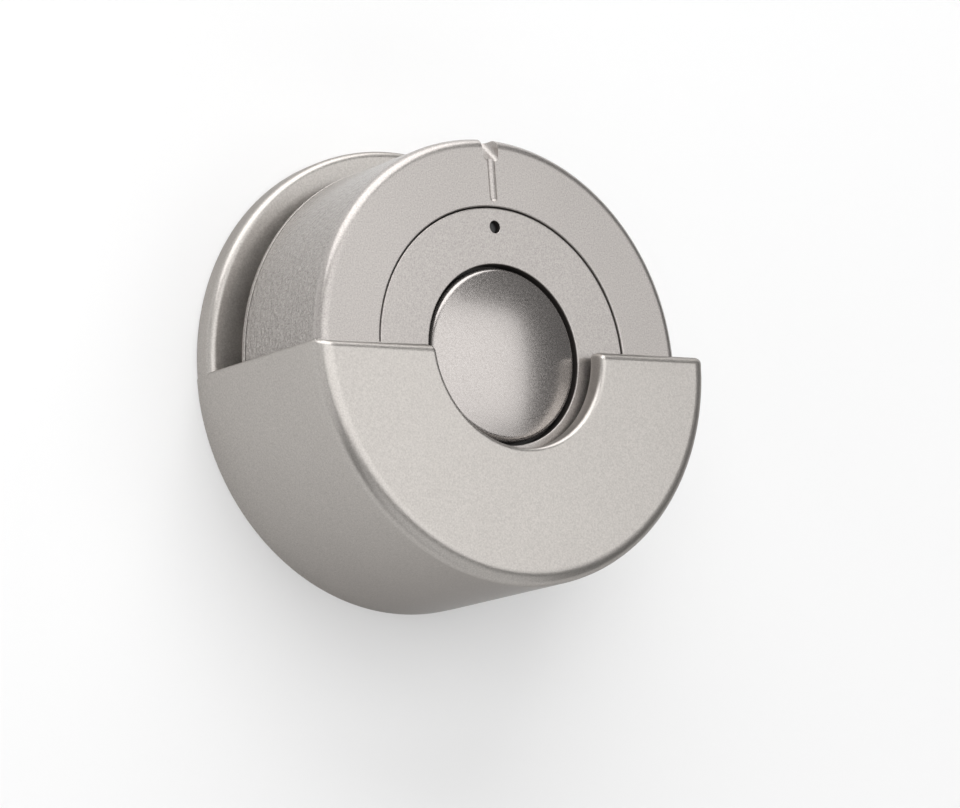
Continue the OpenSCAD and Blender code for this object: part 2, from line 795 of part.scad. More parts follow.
// A pan-head screw that points out from the wall, with a cross recess
module screw(shank_d, head_d, head_h, shank_len) {
    cross_w = 0.5;
    cross_len = head_d - 1.5;
    difference() {
        union() {
            cylinder(d = head_d, h = head_h);
            cylinder(d = shank_d, h = head_h + shank_len);
        }
        for (a = [0, 90]) {
            rotate([0, 0, a]) block(0, 0, -cut, cross_len, cross_w, cut + head_h / 2);
        }
    }
}

module case_screws() {
    foot = rear_h + case_head_sink;
    color(steel) docked() around(case_screw_pos, case_screw_angles) translate([0, 0, foot])
        screw(case_screw_d, case_head_d, case_head_h, flange_front_h + screw_bite - foot - case_head_h);
}

module board_screws() {
    foot = board_back_h - board_head_h;
    color(steel) docked() around(board_screw_pos, board_screw_angles) translate([0, 0, foot])
        screw(board_screw_d, board_head_d, board_head_h, board_t + screw_bite);
}

wall_holder();
rear_housing();
battery_cover();
cover_seal();
coin_cell();
cell_contact_plus();
cell_contact_minus();
chassis();
front_disc();
dimmer_ring();
ring_retainer();
code_magnet();
glide_washer();
detent_spring();
button_cap();
button_spring();
switch_plunger();
tact_switch();
circuit_board();
radio_module();
antenna();
microcontroller();
crystal();
capacitors();
hall_sensor();
status_led();
light_pipe();
case_screws();
board_screws();
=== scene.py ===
# A round remote dimmer that stands in a half-round pocket on the wall.
# Sizes are in millimetres here: h is a height out from the wall, r a distance from the axis.
import json
import math

import bmesh
import bpy
from mathutils import Matrix, Vector


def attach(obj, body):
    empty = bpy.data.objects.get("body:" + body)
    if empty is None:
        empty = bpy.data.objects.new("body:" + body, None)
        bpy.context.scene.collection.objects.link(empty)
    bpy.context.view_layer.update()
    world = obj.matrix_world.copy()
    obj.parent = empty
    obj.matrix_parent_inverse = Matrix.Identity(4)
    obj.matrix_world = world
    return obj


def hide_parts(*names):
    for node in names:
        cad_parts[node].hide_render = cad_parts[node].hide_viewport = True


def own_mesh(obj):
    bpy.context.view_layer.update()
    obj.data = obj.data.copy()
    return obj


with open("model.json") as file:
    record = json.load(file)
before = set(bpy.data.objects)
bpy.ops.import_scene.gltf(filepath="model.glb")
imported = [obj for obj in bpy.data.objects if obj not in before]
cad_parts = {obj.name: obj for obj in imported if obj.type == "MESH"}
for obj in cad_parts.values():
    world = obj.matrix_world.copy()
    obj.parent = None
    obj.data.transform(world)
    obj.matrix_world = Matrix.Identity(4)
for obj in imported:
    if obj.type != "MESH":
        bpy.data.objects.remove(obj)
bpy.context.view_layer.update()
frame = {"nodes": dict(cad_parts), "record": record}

MM = 0.001

# Back plate of the holder
PLATE_R = 31.93
PLATE_FRONT = 3.3
PLATE_ROUND = 1.0
PLATE_BACK_ROUND = 0.25

# Half-round pocket: its round wall stands on the plate and narrows a little towards the front
SHELL_R = 32.0
SHELL_FRONT_R = 31.55
SHELL_IN_R = 30.2
SHELL_START = 0.02
SHELL_STRAIGHT = 2.55
SHELL_BLEND = 6.0
SHELL_ROUND = 2.0
SHELL_IN_ROUND = 0.5
POCKET_FRONT = 28.9
POCKET_FRONT_BACK = 26.0
CUTOUT_R = 13.5
CUTOUT_ROUND = 0.65
CUTOUT_BACK_ROUND = 0.6

# Top edge of the pocket, which falls away towards the front
TOP_Z = -0.15
TOP_ROUND = 0.65
LEAN_START = 27.4
LEAN = 22

# Rails that the remote leans on, and holes for the wall screws
RAIL_X, RAIL_Z, RAIL_H = 21.35, -11.0, 4.1
RAIL_W, RAIL_LENGTH, RAIL_T = 2.0, 16.0, 3.2
RAIL_ROUND = 0.4
SCREW_X, SCREW_Z = 20.0, 6.0
SCREW_R = 2.15
SCREW_HEAD_R = 4.2
SCREW_STRAIGHT = 1.25

# The remote sits this much lower than the holder's axis
DROP = 0.55

# Turning ring
RING_R = 29.2
RING_FRONT = 25.4
RING_BACK = 7.8
RING_ROUND = 1.4
RING_BACK_ROUND = 0.06
RING_BORE_R = 26.2
RING_HOLE_R = 19.9
RING_HOLE_ROUND = 0.2
FACE_BACK = 23.4
SNAP_R = 26.6
SNAP_FRONT, SNAP_BACK = 20.75, 18.85

# Index notch across the ring's front edge, and the index groove below it
NOTCH_W = 2.6
NOTCH_Z = 26.0
NOTCH_ROUND = 0.8
NOTCH_TILT = 45
GROOVE_DEPTH = 0.5
GROOVE_TOOL_R = 0.641
GROOVE_END_Z = 21.125
GROOVE_LENGTH = 5.5

# Front disc and its indicator hole
DISC_R = 19.72
DISC_FRONT = 25.25
DISC_ROUND = 0.18
BUTTON_HOLE_R = 12.15
BUTTON_HOLE_ROUND = 0.12
INDICATOR_Z = 17.15
INDICATOR_R = 0.85

# Domed button: its skin, the flange that stops it and the stem that meets the switch
DOME_TOP = 26.75
DOME_BOW = 41.8
DOME_ANGLE = 15.4
DOME_STEPS = 12
BUTTON_R = 11.65
BUTTON_RIM = 25.12
BUTTON_ROUND = 0.85
FLANGE_OUT_R, FLANGE_IN_R = 13.3, 10.3
FLANGE_FRONT, FLANGE_BACK = 23.2, 22.2
CAP_BACK = 23.8
SEAT_R = 7.25
STEM_R = 1.7
STEM_END = 19.1

# Edge of the rear housing: centre and radius of its two roundings
EDGE_BACK_R, EDGE_BACK_H, EDGE_BACK_ROUND = 28.4, 7.3, 0.9
EDGE_FRONT_R, EDGE_FRONT_H, EDGE_FRONT_ROUND = 29.24, 7.64, 0.06

# The mould of the remote's side was spark-eroded, from behind the ring's front rounding to the rear edge
GRIP_R = 28.6
GRIP_FRONT = 24.0
EDGE_GRIP = (6.5, 7.68)

# How far the dark bare ABS reaches down into the gap round the button and into the indicator hole: plastic
# left unsprayed there, and also painted shade for these deep gaps
GAP_R = 12.5
GAP_BARE_AND_SHADE_H = 24.5
BUTTON_BARE_AND_SHADE_H = 24.4
INDICATOR_ZONE = (16.0, 18.5)
INDICATOR_BARE_AND_SHADE_H = (23.5, 25.2)

# Straight piece kept beside each rounding, so that flat faces shade evenly
HOLD = 0.12
# Points closer than this are one point
SAME_POINT = 0.002
SAME_POINT_AFTER_CUT = 0.001

# Wall
WALL_H = 0.02
WALL_OPENING_R = 31.0
WALL_GLOW = 0.22


# Camera, fitted to the circles and edges of the photograph at a focal length that was chosen

def aim_camera():
    azimuth, elevation, roll = (math.radians(a) for a in (-36.606, -8.728, -4.184))
    distance = 0.48074
    width, height, focal = 960, 808, 3500.0
    sensor = 36
    # The pixel where the holder's centre lands
    centre_x, centre_y = 395.558, 382.868
    back = Vector((math.sin(azimuth) * math.cos(elevation),
                   -math.cos(azimuth) * math.cos(elevation),
                   math.sin(elevation)))
    level = Vector((math.cos(azimuth), math.sin(azimuth), 0))
    upright = back.cross(level)
    right = level * math.cos(roll) + upright * math.sin(roll)
    up = upright * math.cos(roll) - level * math.sin(roll)
    across = (centre_x - width / 2) * distance / focal
    down = (centre_y - height / 2) * distance / focal
    place = back * distance - right * across + up * down
    camera = bpy.data.objects.new("camera", bpy.data.cameras.new("camera"))
    bpy.context.collection.objects.link(camera)
    camera.matrix_world = Matrix.Translation(place) @ Matrix((right, up, back)).transposed().to_4x4()
    camera.data.sensor_width = sensor
    camera.data.lens = sensor * focal / width
    camera.data.clip_start = 0.02
    bpy.context.scene.camera = camera


# Drawing outlines and turning them round an axis

def rounded(corners, closed=True, steps=6):
    """Points of an outline whose corners are (r, h) or (r, h, radius of rounding)."""
    points = []
    for i, corner in enumerate(corners):
        here = Vector(corner[:2])
        radius = corner[2] if len(corner) > 2 else 0
        if not radius or (not closed and i in (0, len(corners) - 1)):
            points.append(here)
            continue
        back = Vector(corners[i - 1][:2]) - here
        on = Vector(corners[(i + 1) % len(corners)][:2]) - here
        half = back.angle(on) / 2
        reach = radius / math.tan(half)
        hub = here + (back.normalized() + on.normalized()).normalized() * radius / math.sin(half)
        start, end = here + back.normalized() * reach, here + on.normalized() * reach
        turn = (start - hub).angle_signed(end - hub)
        if back.length > reach + 2 * HOLD:
            points.append(start + back.normalized() * HOLD)
        for k in range(steps + 1):
            arm = start - hub
            arm.rotate(Matrix.Rotation(-turn * k / steps, 2))
            points.append(hub + arm)
        if on.length > reach + 2 * HOLD:
            points.append(end + on.normalized() * HOLD)
    return points


def arc(r, h, radius, first, last, step):
    """Points on a circle round (r, h), by the angle from the outward direction in degrees."""
    angles = (math.radians(a) for a in range(first, last + 1, step))
    return [(r + radius * math.cos(a), h + radius * math.sin(a)) for a in angles]


def draw_outline(name, points, closed, x=0.0, z=0.0):
    """One line of edges that starts on the side of +X of an axis through x, z."""
    bpy.ops.object.select_all(action="DESELECT")
    first = points[0]
    bpy.ops.mesh.primitive_plane_add(size=MM, location=((x + first[0]) * MM, -first[1] * MM, z * MM))
    piece = bpy.context.object
    piece.name = piece.data.name = name
    bpy.ops.object.transform_apply(location=True, rotation=True, scale=True)
    bpy.ops.object.mode_set(mode="EDIT")
    bpy.ops.mesh.select_mode(type="VERT")
    bpy.ops.mesh.merge(type="CENTER")
    for a, b in zip(points, points[1:]):
        step = ((b[0] - a[0]) * MM, -(b[1] - a[1]) * MM, 0)
        bpy.ops.mesh.extrude_vertices_move(TRANSFORM_OT_translate={"value": step})
    if closed:
        mesh = bmesh.from_edit_mesh(piece.data)
        mesh.verts.ensure_lookup_table()
        mesh.verts[0].select = True
        bmesh.update_edit_mesh(piece.data)
        bpy.ops.mesh.edge_face_add()
    bpy.ops.mesh.select_all(action="SELECT")
    return piece


def turned(name, points, closed=True, x=0.0, z=0.0, sides=192):
    """The outline turned all the way round its axis, like a piece from a lathe."""
    piece = draw_outline(name, points, closed, x, z)
    bpy.ops.mesh.spin(steps=sides, angle=math.tau, center=(x * MM, 0, z * MM), axis=(0, 1, 0))
    close_up()
    return piece


def close_up():
    bpy.ops.mesh.select_all(action="SELECT")
    bpy.ops.mesh.remove_doubles(threshold=SAME_POINT * MM)
    bpy.ops.mesh.normals_make_consistent(inside=False)
    bpy.ops.object.mode_set(mode="OBJECT")


# Working on one piece

def take_up(piece):
    bpy.ops.object.select_all(action="DESELECT")
    bpy.context.view_layer.objects.active = piece
    piece.select_set(True)


def pick(piece, choose, kind="edges"):
    """Selects what choose says yes to, in edit mode."""
    take_up(piece)
    bpy.ops.object.mode_set(mode="EDIT")
    bpy.ops.mesh.select_mode(type={"edges": "EDGE", "faces": "FACE", "verts": "VERT"}[kind])
    bpy.ops.mesh.select_all(action="DESELECT")
    mesh = bmesh.from_edit_mesh(piece.data)
    for item in getattr(mesh, kind):
        if choose(item):
            item.select_set(True)
    mesh.select_flush_mode()
    bmesh.update_edit_mesh(piece.data)


def middle(item):
    """The middle of an edge or face, in millimetres."""
    return sum((v.co for v in item.verts), Vector()) / len(item.verts) / MM


def use_modifier(piece, kind, **settings):
    take_up(piece)
    modifier = piece.modifiers.new(kind.lower(), kind)
    for key, value in settings.items():
        setattr(modifier, key, value)
    bpy.ops.object.modifier_apply(modifier=modifier.name)


def combine(piece, tool, how):
    use_modifier(piece, "BOOLEAN", operation=how, object=tool, solver="EXACT")
    bpy.data.objects.remove(tool)
    bpy.ops.object.mode_set(mode="EDIT")
    bpy.ops.mesh.select_all(action="SELECT")
    bpy.ops.mesh.remove_doubles(threshold=SAME_POINT_AFTER_CUT * MM)
    bpy.ops.object.mode_set(mode="OBJECT")


def smooth(piece, angle=35):
    take_up(piece)
    bpy.ops.object.shade_smooth_by_angle(angle=math.radians(angle))
    use_modifier(piece, "WEIGHTED_NORMAL", mode="FACE_AREA", keep_sharp=True)


def block(name, x, z, h, w, d, t):
    """A block by its middle and size: w across, d up the wall and t out from it."""
    bpy.ops.object.select_all(action="DESELECT")
    bpy.ops.mesh.primitive_cube_add(size=1, location=(x * MM, -h * MM, z * MM),
                                    scale=(w * MM, t * MM, d * MM))
    piece = bpy.context.object
    piece.name = piece.data.name = name
    bpy.ops.object.transform_apply(location=True, rotation=True, scale=True)
    return piece


# Wall holder: back plate, half-round pocket, two rails and two screw holes

def make_holder():
    outline = rounded([(0, 0), (PLATE_R, 0, PLATE_BACK_ROUND), (PLATE_R, PLATE_FRONT, PLATE_ROUND),
                       (0, PLATE_FRONT)], closed=False)
    plate = turned("wall_holder_moulding", outline, closed=False)
    combine(plate, make_pocket(), "UNION")
    for side in (-1, 1):
        rail = block("rail", side * RAIL_X, RAIL_Z, RAIL_H, RAIL_W, RAIL_LENGTH, RAIL_T)
        use_modifier(rail, "BEVEL", width=RAIL_ROUND * MM, segments=3, limit_method="NONE")
        combine(plate, rail, "UNION")
        combine(plate, make_screw_tool(side * SCREW_X), "DIFFERENCE")
    smooth(plate)
    return plate


def make_screw_tool(x):
    """A straight hole with a countersink, cut a little past both faces of the plate."""
    past = 0.2
    outline = [(0, -1), (SCREW_R, -1), (SCREW_R, SCREW_STRAIGHT), (SCREW_HEAD_R, PLATE_FRONT),
               (SCREW_HEAD_R + past, PLATE_FRONT + past), (0, PLATE_FRONT + past)]
    return turned("screw_hole", outline, closed=False, x=x, z=SCREW_Z, sides=64)


def make_pocket():
    outline = rounded([(SHELL_IN_R, SHELL_START), (SHELL_R, SHELL_START),
                       (SHELL_R, SHELL_STRAIGHT, SHELL_BLEND),
                       (SHELL_FRONT_R, POCKET_FRONT, SHELL_ROUND), (CUTOUT_R, POCKET_FRONT, CUTOUT_ROUND),
                       (CUTOUT_R, POCKET_FRONT_BACK, CUTOUT_BACK_ROUND),
                       (SHELL_IN_R, POCKET_FRONT_BACK, SHELL_IN_ROUND)], steps=8)
    pocket = draw_outline("pocket", outline, closed=True)
    # The first and last step are wide, to leave room for the rounding of the cut edge
    wide = 5.625
    for steps, angle in ((1, wide), (90, 180 - 2 * wide), (1, wide)):
        bpy.ops.mesh.spin(steps=steps, angle=math.radians(angle), center=(0, 0, 0), axis=(0, -1, 0))
    bpy.ops.mesh.select_all(action="SELECT")
    bpy.ops.mesh.remove_doubles(threshold=SAME_POINT * MM)
    # A level cut makes the top edge, and a second one lets it fall away at the front
    for h, tilt in ((0, 0), (LEAN_START, LEAN)):
        lean = math.radians(tilt)
        bpy.ops.mesh.select_all(action="SELECT")
        bpy.ops.mesh.bisect(plane_co=(0, -h * MM, TOP_Z * MM),
                            plane_no=(0, -math.sin(lean), math.cos(lean)),
                            use_fill=True, clear_outer=True)
    close_up()
    pick(pocket, lambda f: f.normal.z > 0.9 and middle(f).z > -1, "faces")
    bpy.ops.mesh.region_to_loop()
    bpy.ops.mesh.bevel(offset=TOP_ROUND * MM, segments=6, profile=0.5, affect="EDGES", clamp_overlap=False)
    bpy.ops.object.mode_set(mode="OBJECT")
    return pocket


# Turning ring, with the index notch and groove

def make_ring():
    # Points at 12 and 20 divide the straight side
    outline = rounded([(RING_BORE_R, RING_BACK), (RING_R, RING_BACK, RING_BACK_ROUND),
                       (RING_R, 12.0), (RING_R, 20.0),
                       (RING_R, RING_FRONT, RING_ROUND), (RING_HOLE_R, RING_FRONT, RING_HOLE_ROUND),
                       (RING_HOLE_R, FACE_BACK), (RING_BORE_R, FACE_BACK), (RING_BORE_R, SNAP_FRONT),
                       (SNAP_R, SNAP_FRONT), (SNAP_R, SNAP_BACK), (RING_BORE_R, SNAP_BACK)], steps=8)
    ring = turned("dimmer_ring_shell", outline, z=-DROP, sides=240)
    combine(ring, make_notch_tool(), "DIFFERENCE")
    combine(ring, make_groove_tool(), "DIFFERENCE")
    smooth(ring)
    return ring


def make_notch_tool():
    """A bar with two rounded lower edges, tilted across the ring's front edge."""
    reach = 6.4
    z = NOTCH_Z - DROP
    notch = block("notch", 0, z, RING_FRONT + reach / 2, NOTCH_W, 2 * reach, reach)
    pick(notch, lambda e: abs(middle(e).y + RING_FRONT) < 0.01 and abs(middle(e).x) > 1)
    bpy.ops.mesh.bevel(offset=NOTCH_ROUND * MM, segments=8, affect="EDGES")
    bpy.ops.mesh.select_all(action="SELECT")
    bpy.ops.transform.rotate(value=math.radians(NOTCH_TILT), orient_axis="X",
                             center_override=(0, -RING_FRONT * MM, z * MM))
    bpy.ops.object.mode_set(mode="OBJECT")
    return notch


def make_groove_tool():
    """A long pill that lies sunk in the ring's front, which makes a groove 1.25 mm wide."""
    h = RING_FRONT + GROOVE_TOOL_R - GROOVE_DEPTH
    z = GROOVE_END_Z - DROP
    bpy.ops.object.select_all(action="DESELECT")
    bpy.ops.mesh.primitive_uv_sphere_add(segments=48, ring_count=48, radius=GROOVE_TOOL_R * MM,
                                         location=(0, -h * MM, z * MM))
    groove = bpy.context.object
    bpy.ops.object.transform_apply(location=True, rotation=True, scale=True)
    pick(groove, lambda v: v.co.z > (z + 0.005) * MM, "verts")
    bpy.ops.transform.translate(value=(0, 0, GROOVE_LENGTH * MM))
    bpy.ops.object.mode_set(mode="OBJECT")
    return groove


# Front disc with the indicator hole, and the domed button

def make_disc():
    outline = rounded([(BUTTON_HOLE_R, FACE_BACK), (DISC_R, FACE_BACK), (DISC_R, DISC_FRONT, DISC_ROUND),
                       (BUTTON_HOLE_R, DISC_FRONT, BUTTON_HOLE_ROUND)])
    disc = turned("front_disc_plate", outline, z=-DROP)
    # The tool runs past both faces of the disc, and breaks the hole's edge by 0.05 mm
    broken, past = 0.05, 0.2
    outline = [(0, 22), (INDICATOR_R, 22), (INDICATOR_R, DISC_FRONT - broken),
               (INDICATOR_R + broken, DISC_FRONT), (INDICATOR_R + broken + past, DISC_FRONT + past),
               (0, DISC_FRONT + past)]
    hole = turned("indicator", outline, closed=False, z=INDICATOR_Z - DROP, sides=48)
    combine(disc, hole, "DIFFERENCE")
    smooth(disc)
    return disc


def make_button():
    dome = []
    for k in range(DOME_STEPS):
        a = math.radians(DOME_ANGLE * k / DOME_STEPS)
        dome.append((DOME_BOW * math.sin(a), DOME_TOP - DOME_BOW * (1 - math.cos(a))))
    outline = rounded([*dome, (BUTTON_R, BUTTON_RIM, BUTTON_ROUND), (BUTTON_R, FLANGE_FRONT),
                       (FLANGE_OUT_R, FLANGE_FRONT), (FLANGE_OUT_R, FLANGE_BACK),
                       (FLANGE_IN_R, FLANGE_BACK), (FLANGE_IN_R, CAP_BACK),
                       (SEAT_R, CAP_BACK), (SEAT_R, FLANGE_BACK),
                       (STEM_R, FLANGE_BACK), (STEM_R, STEM_END), (0, STEM_END)], closed=False)
    button = turned("button_dome", outline, closed=False, z=-DROP, sides=160)
    smooth(button)
    return button


# Pieces made from a merged copy of their CAD mesh

def copy_of(node, name):
    bpy.ops.object.select_all(action="DESELECT")
    bpy.ops.mesh.primitive_cube_add()
    piece = bpy.context.object
    piece.name = name
    piece.data = frame["nodes"][node].data.copy()
    piece.data.name = name
    piece.location = (0, 0, 0)
    bpy.ops.object.mode_set(mode="EDIT")
    close_up()
    return piece


def make_housing():
    """The housing with the edges of its flange rounded, the back one most."""
    housing = copy_of("rear_housing", "rear_housing_shell")
    back, front = 2.0, 16.0
    outline = [(0, back), (EDGE_BACK_R, back),
               *arc(EDGE_BACK_R, EDGE_BACK_H, EDGE_BACK_ROUND, -90, 0, 15),
               *arc(EDGE_FRONT_R, EDGE_FRONT_H, EDGE_FRONT_ROUND, 0, 90, 30),
               (EDGE_FRONT_R, front), (0, front)]
    envelope = turned("housing_envelope", outline, closed=False, z=-DROP, sides=240)
    combine(housing, envelope, "INTERSECT")
    # Flat faces become whole again, so that they shade evenly
    pick(housing, lambda f: True, "faces")
    bpy.ops.mesh.dissolve_limited(angle_limit=math.radians(0.5))
    bpy.ops.object.mode_set(mode="OBJECT")
    smooth(housing)
    return housing


def make_spring():
    spring = copy_of("button_spring", "button_spring_coil")
    smooth(spring, 60)
    return spring


# Finishes

def shade(code):
    """A colour in the renderer's own values, from its sRGB hex code."""
    parts = [int(code[i:i + 2], 16) / 255 for i in (1, 3, 5)]
    return tuple(p / 12.92 if p <= 0.04045 else ((p + 0.055) / 1.055) ** 2.4 for p in parts) + (1,)


def scale_of(size):
    """The scale of a pattern whose marks are this many millimetres wide."""
    return 1000 / size


def add(tree, kind, inputs=(), **settings):
    """One node with its settings, and its inputs as values or as sockets to link."""
    node = tree.nodes.new(kind)
    for key, value in settings.items():
        setattr(node, key, value)
    for key, value in dict(inputs).items():
        if isinstance(value, bpy.types.NodeSocket):
            tree.links.new(value, node.inputs[key])
        else:
            node.inputs[key].default_value = value
    return node


def new_finish(name):
    material = bpy.data.materials.new(name)
    material.use_nodes = True
    material.node_tree.nodes.clear()
    return material, material.node_tree


def silver_lacquer(name, light, dark, grain, depth, rough, slant="#FFFFFF"):
    """Sprayed metallic lacquer on ABS: fine bright flakes in a clear binder.
    It is satin, so edges glint and faces shimmer. The flakes lie flat, so it can be darker at a slant:
    slant is its tint there. grain is the width of the surface's grain and depth its height."""
    material, tree = new_finish(name)
    place = add(tree, "ShaderNodeTexCoord").outputs["Object"]
    # Real flakes are far finer; they are drawn 0.2 mm wide, the least that shows
    flakes = add(tree, "ShaderNodeTexNoise", {"Vector": place, "Scale": scale_of(0.2), "Detail": 1.0,
                                              "Roughness": 0.5})
    # Slow change of tone where the spray is thicker or thinner
    clouds = add(tree, "ShaderNodeTexNoise", {"Vector": place, "Scale": scale_of(14.0), "Detail": 2.0})
    both = add(tree, "ShaderNodeMath", {0: clouds.outputs["Fac"], 1: 0.1, 2: flakes.outputs["Fac"]},
               operation="MULTIPLY_ADD")
    tint = add(tree, "ShaderNodeMapRange", {"Value": both.outputs[0], "From Min": 0.3, "From Max": 0.8})
    colour = add(tree, "ShaderNodeMix", {"Factor": tint.outputs["Result"], 6: shade(dark), 7: shade(light)},
                 data_type="RGBA")
    satin = add(tree, "ShaderNodeMapRange", {"Value": flakes.outputs["Fac"], "From Min": 0.3, "From Max": 0.7,
                                             "To Min": rough - 0.03, "To Max": rough + 0.03})
    pits = add(tree, "ShaderNodeTexNoise", {"Vector": place, "Scale": scale_of(grain), "Detail": 2.0,
                                            "Roughness": 0.5})
    bump = add(tree, "ShaderNodeBump", {"Height": pits.outputs["Fac"], "Strength": 1.0,
                                        "Distance": depth * MM})
    coat = add(tree, "ShaderNodeBsdfPrincipled", {
        "Base Color": colour.outputs[2], "Metallic": 0.85, "Roughness": satin.outputs["Result"],
        "Normal": bump.outputs["Normal"], "Specular Tint": shade(slant), "Coat Weight": 0.35,
        "Coat Roughness": 0.14})
    add(tree, "ShaderNodeOutputMaterial", {"Surface": coat.outputs["BSDF"]})
    return material


def plain_finish(name, hexcode, rough, metallic=0.0, grain=0.4, variation=0.12):
    """A plain technical finish with a fine grain 0.004 mm high and a slight change of tone."""
    material, tree = new_finish(name)
    place = add(tree, "ShaderNodeTexCoord").outputs["Object"]
    noise = add(tree, "ShaderNodeTexNoise", {"Vector": place, "Scale": scale_of(grain), "Detail": 3.0})
    base = shade(hexcode)
    low = tuple(c * (1 - variation) for c in base[:3]) + (1,)
    high = tuple(min(1, c * (1 + variation)) for c in base[:3]) + (1,)
    colour = add(tree, "ShaderNodeMix", {"Factor": noise.outputs["Fac"], 6: low, 7: high}, data_type="RGBA")
    satin = add(tree, "ShaderNodeMapRange", {"Value": noise.outputs["Fac"], "To Min": rough - 0.06,
                                             "To Max": rough + 0.06})
    bump = add(tree, "ShaderNodeBump", {"Height": noise.outputs["Fac"], "Distance": 0.004 * MM})
    body = add(tree, "ShaderNodeBsdfPrincipled", {
        "Base Color": colour.outputs[2], "Metallic": metallic, "Roughness": satin.outputs["Result"],
        "Normal": bump.outputs["Normal"]})
    add(tree, "ShaderNodeOutputMaterial", {"Surface": body.outputs["BSDF"]})
    return material


def smoked_acrylic(name):
    """Moulded acrylic, smoked so that the indicator looks black when it is off, with a matt end."""
    material, tree = new_finish(name)
    place = add(tree, "ShaderNodeTexCoord").outputs["Object"]
    haze = add(tree, "ShaderNodeTexNoise", {"Vector": place, "Scale": scale_of(0.8)})
    satin = add(tree, "ShaderNodeMapRange", {"Value": haze.outputs["Fac"], "To Min": 0.25, "To Max": 0.35})
    body = add(tree, "ShaderNodeBsdfPrincipled", {
        "Base Color": shade("#1E1B1A"), "Roughness": satin.outputs["Result"], "IOR": 1.49,
        "Specular IOR Level": 0.2, "Transmission Weight": 0.9})
    add(tree, "ShaderNodeOutputMaterial", {"Surface": body.outputs["BSDF"]})
    return material


def dress(piece, material):
    piece.data.materials.clear()
    piece.data.materials.append(material)


def dress_some(piece, material, choose):
    """Another finish for the faces that choose says yes to, by the radius and height of their middle."""
    piece.data.materials.append(material)
    for face in piece.data.polygons:
        if choose(math.hypot(face.center.x / MM, face.center.z / MM + DROP), -face.center.y / MM):
            face.material_index = len(piece.data.materials) - 1


def within(value, limits):
    return limits[0] < value < limits[1]


def dress_inside():
    """The CAD pieces that stay as they are get the finish of their real material."""
    finishes = {
        "black_abs": plain_finish("black moulded ABS", "#1B1B1D", 0.5),
        "black_acetal": plain_finish("black acetal", "#202022", 0.35),
        "magnet": plain_finish("bonded ferrite", "#3A3A3C", 0.6),
        "natural_acetal": plain_finish("natural acetal", "#ECE9DF", 0.35, variation=0.04),
        "spring_steel": plain_finish("spring steel wire", "#A9ABAD", 0.3, 1.0),
        "switch_steel": plain_finish("tinned switch frame", "#B9BABA", 0.35, 1.0),
        "board_green": plain_finish("green solder resist", "#1C5238", 0.3, grain=1.2),
        "shield_tin": plain_finish("tin-plated can", "#C2C2C0", 0.28, 1.0),
        "chip_black": plain_finish("moulded epoxy", "#1E1E20", 0.55, grain=0.2),
        "ceramic_tan": plain_finish("fired ceramic", "#A88661", 0.5),
        "led_white": plain_finish("white LED housing", "#EEEEE4", 0.4, variation=0.03),
        "screw_steel": plain_finish("zinc-plated steel", "#B1B3B4", 0.32, 1.0),
        "cell_steel": plain_finish("rolled nickel-plated steel", "#C4C4C2", 0.22, 1.0, grain=1.5),
        "contact_gold": plain_finish("gold-plated bronze", "#D3AF62", 0.28, 1.0),
        "seal_rubber": plain_finish("black nitrile rubber", "#17171A", 0.6),
        "clear_acrylic": smoked_acrylic("smoked clear acrylic"),
    }
    slots = {row["node"]: row["material_slot"] for row in frame["record"]["subparts"]}
    for name, piece in frame["nodes"].items():
        material = finishes.get(slots.get(name))
        if material:
            for spot in piece.material_slots:
                spot.material = material


# Wall, light and backdrop

def make_wall():
    """A white wall that is seen only from its front, with an opening behind the holder."""
    centre = (0, WALL_H * MM, 0)
    bpy.ops.object.select_all(action="DESELECT")
    bpy.ops.mesh.primitive_circle_add(vertices=96, radius=WALL_OPENING_R * MM, location=centre,
                                      rotation=(math.radians(90), 0, 0))
    wall = bpy.context.object
    wall.name = "wall"
    bpy.ops.object.transform_apply(location=True, rotation=True, scale=True)
    bpy.ops.object.mode_set(mode="EDIT")
    bpy.ops.mesh.select_all(action="SELECT")
    for grow in (2.0, 4.0, 8.0):
        bpy.ops.mesh.extrude_region_move()
        bpy.ops.transform.resize(value=(grow, 1, grow), center_override=centre)
    bpy.ops.mesh.select_all(action="SELECT")
    if wall_looks_back(wall):
        bpy.ops.mesh.flip_normals()
    bpy.ops.object.mode_set(mode="OBJECT")
    dress(wall, white_wall_paint())


def wall_looks_back(wall):
    mesh = bmesh.from_edit_mesh(wall.data)
    mesh.faces.ensure_lookup_table()
    mesh.normal_update()
    return mesh.faces[0].normal.y > 0


def white_wall_paint():
    """Matt white paint. What looks at it, straight or by gloss, sees it a little brighter than it lights."""
    material, tree = new_finish("white painted wall")
    sight = add(tree, "ShaderNodeLightPath")
    seen = add(tree, "ShaderNodeMath", {0: sight.outputs["Is Camera Ray"], 1: sight.outputs["Is Glossy Ray"]},
               operation="MAXIMUM")
    seen = add(tree, "ShaderNodeMath", {0: seen.outputs[0], 1: sight.outputs["Is Transmission Ray"]},
               operation="MAXIMUM")
    lift = add(tree, "ShaderNodeMath", {0: seen.outputs[0], 1: WALL_GLOW}, operation="MULTIPLY")
    paint = add(tree, "ShaderNodeBsdfDiffuse", {"Color": shade("#D2D2D2")})
    glow = add(tree, "ShaderNodeEmission", {"Strength": lift.outputs[0]})
    both = add(tree, "ShaderNodeAddShader", {0: paint.outputs[0], 1: glow.outputs[0]})
    gone = add(tree, "ShaderNodeBsdfTransparent")
    side = add(tree, "ShaderNodeNewGeometry")
    surface = add(tree, "ShaderNodeMixShader", {0: side.outputs["Backfacing"], 1: both.outputs[0],
                                                2: gone.outputs[0]})
    add(tree, "ShaderNodeOutputMaterial", {"Surface": surface.outputs[0]})
    return material


